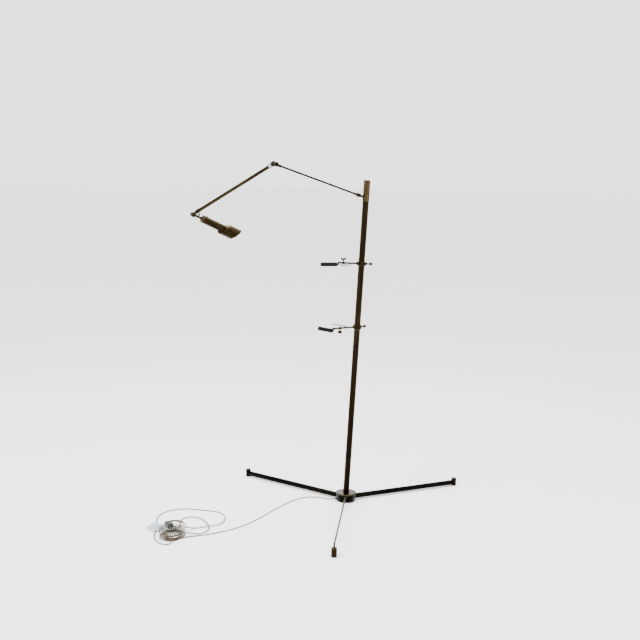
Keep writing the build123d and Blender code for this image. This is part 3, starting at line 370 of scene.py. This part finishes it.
# %% Node helpers
def add(tree, kind, inputs=(), **settings):
    """A node with its settings and input values."""
    node = tree.nodes.new(kind)
    for key, value in settings.items():
        setattr(node, key, value)
    for key, value in dict(inputs).items():
        if isinstance(value, bpy.types.NodeSocket):
            tree.links.new(value, node.inputs[key])
        else:
            node.inputs[key].default_value = value
    return node


def new_material(name, metallic, **values):
    """A material, its tree and its shader, with plain values set on the shader."""
    material = bpy.data.materials.new(name)
    material.use_nodes = True
    tree = material.node_tree
    shader = tree.nodes["Principled BSDF"]
    shader.inputs["Metallic"].default_value = metallic
    for key, value in values.items():
        shader.inputs[key.replace("_", " ")].default_value = value
    return material, tree, shader


def own_coordinates(tree, matrix=None, stretch=(1, 1, 1)):
    """The piece's own coordinates, seen from a frame on it, and stretched."""
    place = add(tree, "ShaderNodeTexCoord").outputs["Object"]
    if matrix is not None:
        inverse = matrix.inverted()
        place = add(tree, "ShaderNodeMapping", {
            "Vector": place,
            "Location": inverse.translation,
            "Rotation": inverse.to_euler("XYZ"),
        }).outputs["Vector"]
    if tuple(stretch) != (1, 1, 1):
        place = add(tree, "ShaderNodeVectorMath", {0: place, 1: stretch},
                    operation="MULTIPLY").outputs["Vector"]
    return place


def noise(tree, place, scale, detail=4.0, rough=0.55, warp=0.0):
    return add(tree, "ShaderNodeTexNoise", {
        "Vector": place, "Scale": scale, "Detail": detail,
        "Roughness": rough, "Distortion": warp,
    }).outputs["Fac"]


def ramp(tree, value, stops):
    """A colour ramp from (position, colour) stops."""
    node = add(tree, "ShaderNodeValToRGB", {"Fac": value})
    elements = node.color_ramp.elements
    while len(elements) < len(stops):
        elements.new(0.5)
    for element, (position, colour) in zip(elements, stops):
        element.position = position
        element.color = (*colour, 1)
    return node.outputs["Color"]


def ranged(tree, value, low, high, to_low, to_high):
    return add(tree, "ShaderNodeMapRange", {
        "Value": value, "From Min": low, "From Max": high,
        "To Min": to_low, "To Max": to_high,
    }).outputs["Result"]


def math(tree, operation, first, second=0.0):
    return add(tree, "ShaderNodeMath", {0: first, 1: second},
               operation=operation).outputs["Value"]


def blended(tree, factor, first, second, mode="MIX"):
    return add(tree, "ShaderNodeMixRGB", {
        "Fac": factor, "Color1": first, "Color2": second,
    }, blend_type=mode).outputs["Color"]


def grey(value):
    return (value, value, value, 1)


# %% [markdown]
# ## Worn edges and bumps
# Hands rub the patina off an edge first. The Bevel node's normal turns away from the
# real one near an edge, and how far it turns is the mask. Scratches are too fine to
# model, so they are a bump.


# %% Worn edges and bumps
def edge_mask(tree, radius):
    """1 along sharp edges and 0 elsewhere, from how far a rounded normal turns."""
    soft = add(tree, "ShaderNodeBevel", {"Radius": radius}, samples=4).outputs["Normal"]
    plain = add(tree, "ShaderNodeNewGeometry").outputs["Normal"]
    turn = add(tree, "ShaderNodeVectorMath", {0: soft, 1: plain},
               operation="DOT_PRODUCT").outputs["Value"]
    return ranged(tree, turn, 0.97, 0.80, 0.0, 1.0)


def bumped(tree, shader, height, depth, strength=0.5):
    bump = add(tree, "ShaderNodeBump", {
        "Height": height, "Strength": strength, "Distance": depth,
    })
    tree.links.new(bump.outputs["Normal"], shader.inputs["Normal"])


# %% [markdown]
# ## Aged metal
# Most of the lamp is brass with a dark patina: three tones that run along the piece,
# darker blotches, fine scratches and a brighter, worn line along the edges. The studio
# is brighter than 1 so that it looks white, and `toned` darkens a colour by as much.

# %% Aged metal
light_level = 2.6  # the strength of the white studio
depth = 1.15  # more than 1 makes a colour deeper


def toned(colour, level=1 / light_level):
    """A colour that reads the same under the bright studio light."""
    return tuple(part ** depth * level for part in colour[:3])


def aged_metal(name, tones, lengthwise=None, stretch=14.0, scale=55.0, rough=(0.26, 0.5),
               worn=(0.30, 0.22, 0.11), wear=0.5, blotch=0.45, metallic=1.0,
               edge_radius=0.0012):
    """Patinated metal: three tones, dark blotches, fine scratches and worn edges."""
    tones = [toned(tone) for tone in tones]
    worn = toned(worn)
    material, tree, shader = new_material(name, metallic)
    matrix = basis(Vector(), lengthwise) if lengthwise is not None else None
    streaks = own_coordinates(tree, matrix, (1, 1, 1 / stretch))
    place = own_coordinates(tree)
    grain = noise(tree, streaks, scale, 6.0, 0.62, 0.4)
    colour = ramp(tree, grain, [(0.33, tones[0]), (0.50, tones[1]), (0.68, tones[2])])
    patches = noise(tree, place, 16.0, 5.0, 0.65, 0.8)
    dark = ranged(tree, patches, 0.50, 0.72, 0.0, blotch)
    colour = blended(tree, dark, colour, (*tones[0], 1))
    edges = math(tree, "MULTIPLY", edge_mask(tree, edge_radius),
                 ranged(tree, patches, 0.30, 0.62, wear, wear * 0.3))
    colour = blended(tree, edges, colour, (*worn, 1))
    tree.links.new(colour, shader.inputs["Base Color"])
    scratches = noise(tree, streaks, scale * 11, 3.0, 0.7)
    dull = ranged(tree, patches, 0.35, 0.65, rough[0], rough[1])
    dull = math(tree, "ADD", dull, ranged(tree, scratches, 0.3, 0.7, -0.05, 0.07))
    tree.links.new(dull, shader.inputs["Roughness"])
    bumped(tree, shader, math(tree, "ADD", scratches, patches), 0.00012)
    return material


# %% [markdown]
# ## Moulded plastic
# The knobs, the plug and the foot switch are moulded. Their colour is nearly even, so a
# slight mottle, a fine grain and some dust on what faces up are enough.


# %% Moulded plastic
def moulded(name, colour, rough=0.35, mottle=0.12, grain=900.0, dust=(0.0, 0.0), coat=0.0):
    """Moulded plastic or phenolic: a slight mottle, a fine grain and a little dust."""
    colour = toned(colour)
    material, tree, shader = new_material(name, 0.0, Coat_Weight=coat, Coat_Roughness=0.2,
                                          Specular_IOR_Level=0.2)
    place = own_coordinates(tree)
    cloud = noise(tree, place, 38.0, 5.0, 0.6)
    darker = tuple(part * (1 - mottle) for part in colour)
    lighter = tuple(min(1.0, part * (1 + mottle)) for part in colour)
    tone = ramp(tree, cloud, [(0.35, darker), (0.65, lighter)])
    if dust[0] > 0:
        up = add(tree, "ShaderNodeSeparateXYZ", {
            "Vector": add(tree, "ShaderNodeNewGeometry").outputs["Normal"],
        }).outputs["Z"]
        settled = math(tree, "MULTIPLY", ranged(tree, up, 0.3, 1.0, 0.0, dust[0]), cloud)
        tone = blended(tree, settled, tone, grey(dust[1]))
    tree.links.new(tone, shader.inputs["Base Color"])
    tree.links.new(ranged(tree, cloud, 0.3, 0.7, rough * 0.85, rough * 1.2),
                   shader.inputs["Roughness"])
    bumped(tree, shader, noise(tree, place, grain, 2.0), 0.00005, 0.35)
    return material


# %% [markdown]
# ## Directions
# A patina's streaks run along a tube, so each material needs to know which way its piece
# runs. The joints' places and axes give the mast, the arms, the head and the clamps.

# %% Directions
mast_way = axis("swivel_turn")
shoulder, elbow, wrist = pivot("shoulder_tilt"), pivot("elbow_bend"), pivot("wrist_tilt")
inner_way = (elbow - shoulder).normalized()
outer_way = (wrist - elbow).normalized()
head_way = axis("head_roll")
head_frame = basis(wrist, head_way, -mast_way)
leg_ways = {
    "left": Vector((cos(radians(150)), sin(radians(150)), 0)),
    "right": Vector((cos(radians(30)), sin(radians(30)), 0)),
}
clamp_frames = {
    side: basis(pivot(f"{side}_turn"), axis(f"{side}_turn"), axis(f"{side}_lock_turn"))
    for side in ("upper", "lower")
}
jaw_ways = {}
for side in clamp_frames:
    grip = pivot(f"{side}_grip_tilt")
    low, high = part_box(f"{side}_jaw")
    jaw_ways[side] = ((low + high) / 2 - grip).normalized()
print("mast", [round(part, 3) for part in mast_way],
      "head", [round(part, 3) for part in head_way])

# %% [markdown]
# ## Mast
# The mast is a brown patina with paler streaks along it, darker towards the floor. Two
# ramps are read from the same streaks and blended by the height on the mast, with some
# of the streaks added to the height, so that the change has no straight border.


# %% Mast material
def mast_material():
    material, tree, shader = new_material("mast_patina", 1.0)
    matrix = basis(pivot("swivel_turn"), mast_way)
    streaks = own_coordinates(tree, matrix, (1, 1, 0.035))
    place = own_coordinates(tree)
    grain = noise(tree, streaks, 70.0, 7.0, 0.65, 0.5)
    upper = ramp(tree, grain, [(0.32, toned((0.022, 0.013, 0.006))),
                               (0.50, toned((0.055, 0.034, 0.015))),
                               (0.68, toned((0.125, 0.080, 0.036)))])
    lower = ramp(tree, grain, [(0.32, toned((0.010, 0.005, 0.002))),
                               (0.52, toned((0.030, 0.018, 0.008))),
                               (0.70, toned((0.066, 0.048, 0.029)))])
    height = add(tree, "ShaderNodeSeparateXYZ", {"Vector": place}).outputs["Z"]
    wander = math(tree, "ADD", height, math(tree, "MULTIPLY", grain, 0.3))
    colour = blended(tree, ranged(tree, wander, 0.55, 1.05, 0.0, 1.0), lower, upper)
    patches = noise(tree, place, 22.0, 6.0, 0.7, 1.0)
    colour = blended(tree, ranged(tree, patches, 0.52, 0.70, 0.0, 0.55), colour,
                     (*toned((0.014, 0.008, 0.004)), 1))
    tree.links.new(colour, shader.inputs["Base Color"])
    tree.links.new(ranged(tree, patches, 0.3, 0.7, 0.24, 0.46), shader.inputs["Roughness"])
    fine = noise(tree, streaks, 700.0, 3.0, 0.7)
    bumped(tree, shader, math(tree, "ADD", fine, patches), 0.00014)
    return material


# %% [markdown]
# ## Head
# The head is painted bright on top as a painted highlight and dark underneath as painted
# shade. The blend follows the angle round the head's own axis, so it turns with the head
# when it rolls. The inside is told from the outside by the distance from that axis.

# %% Head material
tube_bore = 0.0157
bell_start = 0.150
bell_widening = 0.0107


def shade_material():
    """A painted highlight of bright gilt on the head's top, painted shade on its underside, and
    satin brass inside.
    """
    material, tree, shader = new_material("head_painted_highlight_and_shade", 1.0)
    around = own_coordinates(tree, head_frame)
    streaks = own_coordinates(tree, head_frame, (1, 1, 0.09))
    parts = add(tree, "ShaderNodeSeparateXYZ", {"Vector": around}).outputs
    out = math(tree, "SQRT", math(tree, "ADD", math(tree, "MULTIPLY", parts["X"], parts["X"]),
                                  math(tree, "MULTIPLY", parts["Y"], parts["Y"])))
    grain = noise(tree, streaks, 60.0, 6.0, 0.6, 0.4)
    # Painted light: the gilt ramp is the painted highlight on the head's top, the dark ramp the
    # painted shade underneath.
    gilt = ramp(tree, grain, [(0.30, toned((0.10, 0.066, 0.026))),
                              (0.50, toned((0.24, 0.165, 0.075))),
                              (0.70, toned((0.42, 0.31, 0.16)))])
    painted_shade_brown = ramp(tree, grain, [(0.30, toned((0.012, 0.007, 0.003))),
                               (0.50, toned((0.034, 0.021, 0.009))),
                               (0.70, toned((0.090, 0.060, 0.026)))])
    # Painted shade: its share grows from the head's top to its underside, by the angle round the
    # head's axis.
    painted_shade_share = math(tree, "DIVIDE", parts["X"], math(tree, "MAXIMUM", out, 0.001))
    painted_shade_share = math(tree, "ADD", painted_shade_share, ranged(tree, grain, 0.3, 0.7, -0.12, 0.12))
    outside = blended(tree, ranged(tree, painted_shade_share, -0.92, -0.25, 0.0, 1.0), gilt, painted_shade_brown)
    patches = noise(tree, own_coordinates(tree), 30.0, 5.0, 0.6, 0.8)
    outside = blended(tree, ranged(tree, patches, 0.48, 0.70, 0.0, 0.7), outside,
                      (*toned((0.026, 0.015, 0.007)), 1))
    worn = math(tree, "MULTIPLY", edge_mask(tree, 0.0012), 0.7)
    outside = blended(tree, worn, outside, (*toned((0.45, 0.34, 0.17)), 1))
    inside = ramp(tree, grain, [(0.3, toned((0.16, 0.11, 0.05))),
                                (0.7, toned((0.30, 0.22, 0.11)))])
    wide = math(tree, "GREATER_THAN", parts["Z"], bell_start)
    bore = math(tree, "ADD", tube_bore, math(tree, "MULTIPLY", wide, bell_widening))
    colour = blended(tree, math(tree, "LESS_THAN", out, bore), outside, inside)
    tree.links.new(colour, shader.inputs["Base Color"])
    tree.links.new(ranged(tree, patches, 0.3, 0.7, 0.18, 0.38), shader.inputs["Roughness"])
    bumped(tree, shader, noise(tree, streaks, 800.0, 3.0, 0.7), 0.00008)
    return material


# %% [markdown]
# ## Felt, bulb and flex
# Felt lines the jaws and pads the leaves: matted fibres with a sheen, and some dirt. The
# bulb is opal glass with a metal screw cap, split at a place along the head. The flex is
# a clear sleeve over gilt strands, so it is pale with darker stretches.


# %% Felt, bulb and flex materials
def felt_material(name, colour, weave=1500.0):
    """Felt: matted fibres, a soft sheen and slightly dirty patches."""
    material, tree, shader = new_material(name, 0.0, Roughness=0.95, Sheen_Weight=0.5,
                                          Sheen_Roughness=0.6)
    place = own_coordinates(tree)
    fibres = noise(tree, place, weave, 4.0, 0.75, 1.5)
    dirt = noise(tree, place, 90.0, 4.0)
    tone = ramp(tree, fibres, [(0.3, tuple(c * 0.72 for c in colour)), (0.7, colour)])
    tone = blended(tree, ranged(tree, dirt, 0.5, 0.75, 0.0, 0.35), tone,
                   (*(c * 0.45 for c in colour), 1))
    tree.links.new(tone, shader.inputs["Base Color"])
    bumped(tree, shader, fibres, 0.0003, 0.7)
    return material


screw_cap_end = 0.107


def bulb_material():
    """Opal glass, with the metal screw cap at the holder's end."""
    material, tree, shader = new_material("opal_bulb", 0.0, IOR=1.5, Coat_Weight=0.6)
    along_head = add(tree, "ShaderNodeSeparateXYZ", {
        "Vector": own_coordinates(tree, head_frame),
    }).outputs["Z"]
    cap = math(tree, "LESS_THAN", along_head, screw_cap_end)
    cloud = noise(tree, own_coordinates(tree), 60.0, 3.0)
    glass = ramp(tree, cloud, [(0.3, (0.80, 0.78, 0.72)), (0.7, (0.90, 0.89, 0.85))])
    tree.links.new(blended(tree, cap, glass, (0.55, 0.50, 0.42, 1)),
                   shader.inputs["Base Color"])
    tree.links.new(cap, shader.inputs["Metallic"])
    tree.links.new(ranged(tree, cloud, 0.3, 0.7, 0.22, 0.34), shader.inputs["Roughness"])
    return material


def flex_material():
    """A clear sleeve over gilt strands: pale, slightly glossy, with darker stretches."""
    material, tree, shader = new_material("flex_sleeve", 0.0, Coat_Weight=0.15,
                                          Coat_Roughness=0.15, IOR=1.48,
                                          Specular_IOR_Level=0.2)
    place = own_coordinates(tree)
    cloud = noise(tree, place, 24.0, 5.0, 0.65, 0.6)
    strands = noise(tree, place, 1300.0, 2.0, 0.6)
    tone = ramp(tree, cloud, [(0.30, (0.022, 0.015, 0.008)), (0.48, (0.052, 0.040, 0.023)),
                              (0.66, (0.14, 0.112, 0.068))])
    tone = blended(tree, ranged(tree, strands, 0.45, 0.7, 0.0, 0.5), tone,
                   (0.030, 0.020, 0.010, 1))
    tree.links.new(tone, shader.inputs["Base Color"])
    tree.links.new(ranged(tree, cloud, 0.3, 0.7, 0.28, 0.42), shader.inputs["Roughness"])
    bumped(tree, shader, strands, 0.0001)
    return material


# %% [markdown]
# ## Every piece gets its material
# Tones go from the darkest to the palest. Pieces of one finish share a material, and a
# long piece has its own, because its streaks follow its own direction.

# %% Assign the materials
near_black = [(0.006, 0.0045, 0.004), (0.012, 0.008, 0.006), (0.030, 0.021, 0.014)]
jaw_brown = [(0.020, 0.015, 0.011), (0.046, 0.037, 0.029), (0.105, 0.088, 0.070)]
dark_brown = [(0.010, 0.006, 0.003), (0.024, 0.015, 0.008), (0.062, 0.042, 0.022)]
mid_brown = [(0.020, 0.012, 0.006), (0.055, 0.036, 0.017), (0.120, 0.085, 0.042)]
olive = [(0.040, 0.030, 0.012), (0.095, 0.076, 0.034), (0.190, 0.155, 0.078)]
warm = [(0.060, 0.040, 0.019), (0.135, 0.092, 0.045), (0.240, 0.175, 0.095)]
looks = {
    ("mast_tube",): mast_material(),
    ("shade", "head_cap"): shade_material(),
    ("hub_body", "hub_base_plate"): aged_metal("hub_black", near_black, wear=0.35),
    ("hub_cover",): aged_metal("cover_olive", olive, scale=40, stretch=1, rough=(0.2, 0.42),
                               worn=(0.34, 0.27, 0.13)),
    ("hub_fasteners", "shoulder_pin", "head_screw", "elbow_screw", "wrist_screws",
     "upper_thumb_screw", "lower_thumb_screw"):
        aged_metal("fastener_steel", mid_brown, stretch=1, scale=120, wear=0.7,
                   rough=(0.22, 0.42), edge_radius=0.0006),
    ("leg_left",): aged_metal("left_leg_black", near_black, leg_ways["left"], wear=0.2),
    ("leg_right",): aged_metal("right_leg_black", near_black, leg_ways["right"], wear=0.2),
    ("rear_feet", "front_foot"): aged_metal("foot_brown", dark_brown, mast_way, wear=0.6,
                                            worn=(0.20, 0.15, 0.08)),
    ("front_foot_cap",): aged_metal("foot_cap", olive, stretch=1, wear=0.6),
    ("front_leg", "front_leg_ferrule"):
        aged_metal("front_rod_olive", olive, Vector((0, 1, 0)), rough=(0.2, 0.4)),
    ("swivel_sleeve", "swivel_stem", "mast_spigot", "mast_top_bush"):
        aged_metal("sleeve_brass", warm, mast_way, rough=(0.22, 0.42),
                   worn=(0.42, 0.32, 0.17)),
    ("swivel_cap",): aged_metal("cap_brass", olive, stretch=1, scale=60),
    ("inner_arm_tube",): aged_metal("inner_arm_brown", near_black, inner_way,
                                   rough=(0.42, 0.6), wear=0.2),
    ("shoulder_tongue", "elbow_tongue"):
        aged_metal("tongue_brown", mid_brown, inner_way, stretch=3, wear=0.7),
    ("elbow_knuckle", "elbow_knob"):
        aged_metal("knuckle_brown", dark_brown, stretch=1, scale=80, wear=0.8,
                   worn=(0.26, 0.19, 0.10)),
    ("outer_arm_rods",): aged_metal("rod_brown", warm, outer_way, wear=0.2,
                                   rough=(0.4, 0.55)),
    ("outer_arm_conduit",): aged_metal("conduit_olive", olive, outer_way, wear=0.2,
                                      rough=(0.4, 0.55)),
    ("wrist_ferrule", "wrist_knuckle"):
        aged_metal("wrist_brown", mid_brown, outer_way, stretch=3, wear=0.8,
                   worn=(0.36, 0.27, 0.14)),
    ("upper_liner", "lower_liner", "upper_collar", "lower_collar"):
        aged_metal("collar_brass", mid_brown, stretch=1, scale=70, wear=0.9,
                   worn=(0.34, 0.27, 0.16)),
    ("upper_lock_knob", "lower_lock_knob"):
        moulded("black_phenolic", (0.016, 0.014, 0.012), 0.3, 0.3, coat=0.3),
    ("lamp_holder",): moulded("brown_phenolic", (0.030, 0.022, 0.016), 0.45, 0.2),
    ("foot_glides", "cord_grommet"): moulded("black_rubber", (0.018, 0.016, 0.014), 0.7),
    ("upper_jaw_lining", "lower_jaw_lining"): felt_material("jaw_felt", (0.05, 0.046, 0.040)),
    ("upper_leaf", "lower_leaf"): felt_material("leaf_felt", (0.25, 0.245, 0.235)),
    ("bulb",): bulb_material(),
    ("switch_base", "switch_button"):
        moulded("switch_white", (1.12, 1.30, 1.50), 0.32, 0.03, coat=0.3, dust=(0.3, 0.30)),
    ("plug",): moulded("plug_brown", (0.030, 0.024, 0.018), 0.4, 0.2, coat=0.2),
}
for side, frame_of in clamp_frames.items():
    out = frame_of.col[0].to_3d()
    looks[(f"{side}_arm",)] = aged_metal(f"{side}_arm_brass", mid_brown, out, wear=0.6)
    looks[(f"{side}_jaw",)] = aged_metal(f"{side}_jaw_steel", jaw_brown, jaw_ways[side],
                                         wear=0.9, worn=(0.26, 0.22, 0.16))
flex_look = flex_material()
for names, look in looks.items():
    for name in names:
        nodes[name].data.materials.clear()
        nodes[name].data.materials.append(look)
for name in ("cord_lead", "cord_coil", "cord_inner_loop", "cord_outer_loop", "cord_tail"):
    nodes[name].data.materials.clear()
    nodes[name].data.materials.append(flex_look)
for piece in (flex_to_switch, flex_to_plug):
    piece.data.materials.append(flex_look)
for piece in switch_sleeves:
    piece.data.materials.append(nodes["switch_base"].data.materials[0])
print(len(looks), "materials for", sum(map(len, looks)), "nodes")

# %% [markdown]
# ## Floor and light
# A plain pale floor, so wide that its edge is far behind the lamp, a white sky, and three
# large soft lights: one on the left, a weaker one on the right and one above.

# %% Floor and light
floor_radius = 60
bm = bmesh.new()
bmesh.ops.create_circle(bm, cap_ends=True, segments=96, radius=floor_radius)
mesh = bpy.data.meshes.new("floor")
bm.to_mesh(mesh)
bm.free()
ground = bpy.data.objects.new("floor", mesh)
scene.collection.objects.link(ground)
material, tree, shader = new_material("floor_paint", 0.0, Roughness=0.9)
tree.links.new(ramp(tree, noise(tree, own_coordinates(tree), 0.7, 3.0),
                    [(0.3, (0.90, 0.90, 0.90)), (0.7, (0.92, 0.92, 0.92))]),
               shader.inputs["Base Color"])
ground.data.materials.append(material)

world = bpy.data.worlds.new("sky")
scene.world = world
world.use_nodes = True
world.node_tree.nodes["Background"].inputs["Color"].default_value = (1.0, 1.0, 1.0, 1)
world.node_tree.nodes["Background"].inputs["Strength"].default_value = light_level


def soft_light(name, place, target, size, power):
    light = bpy.data.lights.new(name, "AREA")
    light.shape = "RECTANGLE"
    light.size, light.size_y = size
    light.energy = power
    holder = bpy.data.objects.new(name, light)
    holder.matrix_world = basis(Vector(place), Vector(place) - Vector(target))
    scene.collection.objects.link(holder)


middle = (cad_low + cad_high) / 2
soft_light("key", (-2.6, -2.8, 3.4), middle, (2.0, 2.0), 250)
soft_light("fill", (3.0, -2.0, 1.8), middle, (1.6, 2.4), 90)
soft_light("top", (-0.2, 1.2, 4.0), middle, (2.5, 1.5), 150)
print("floor", floor_radius, "m in radius, sky", light_level)
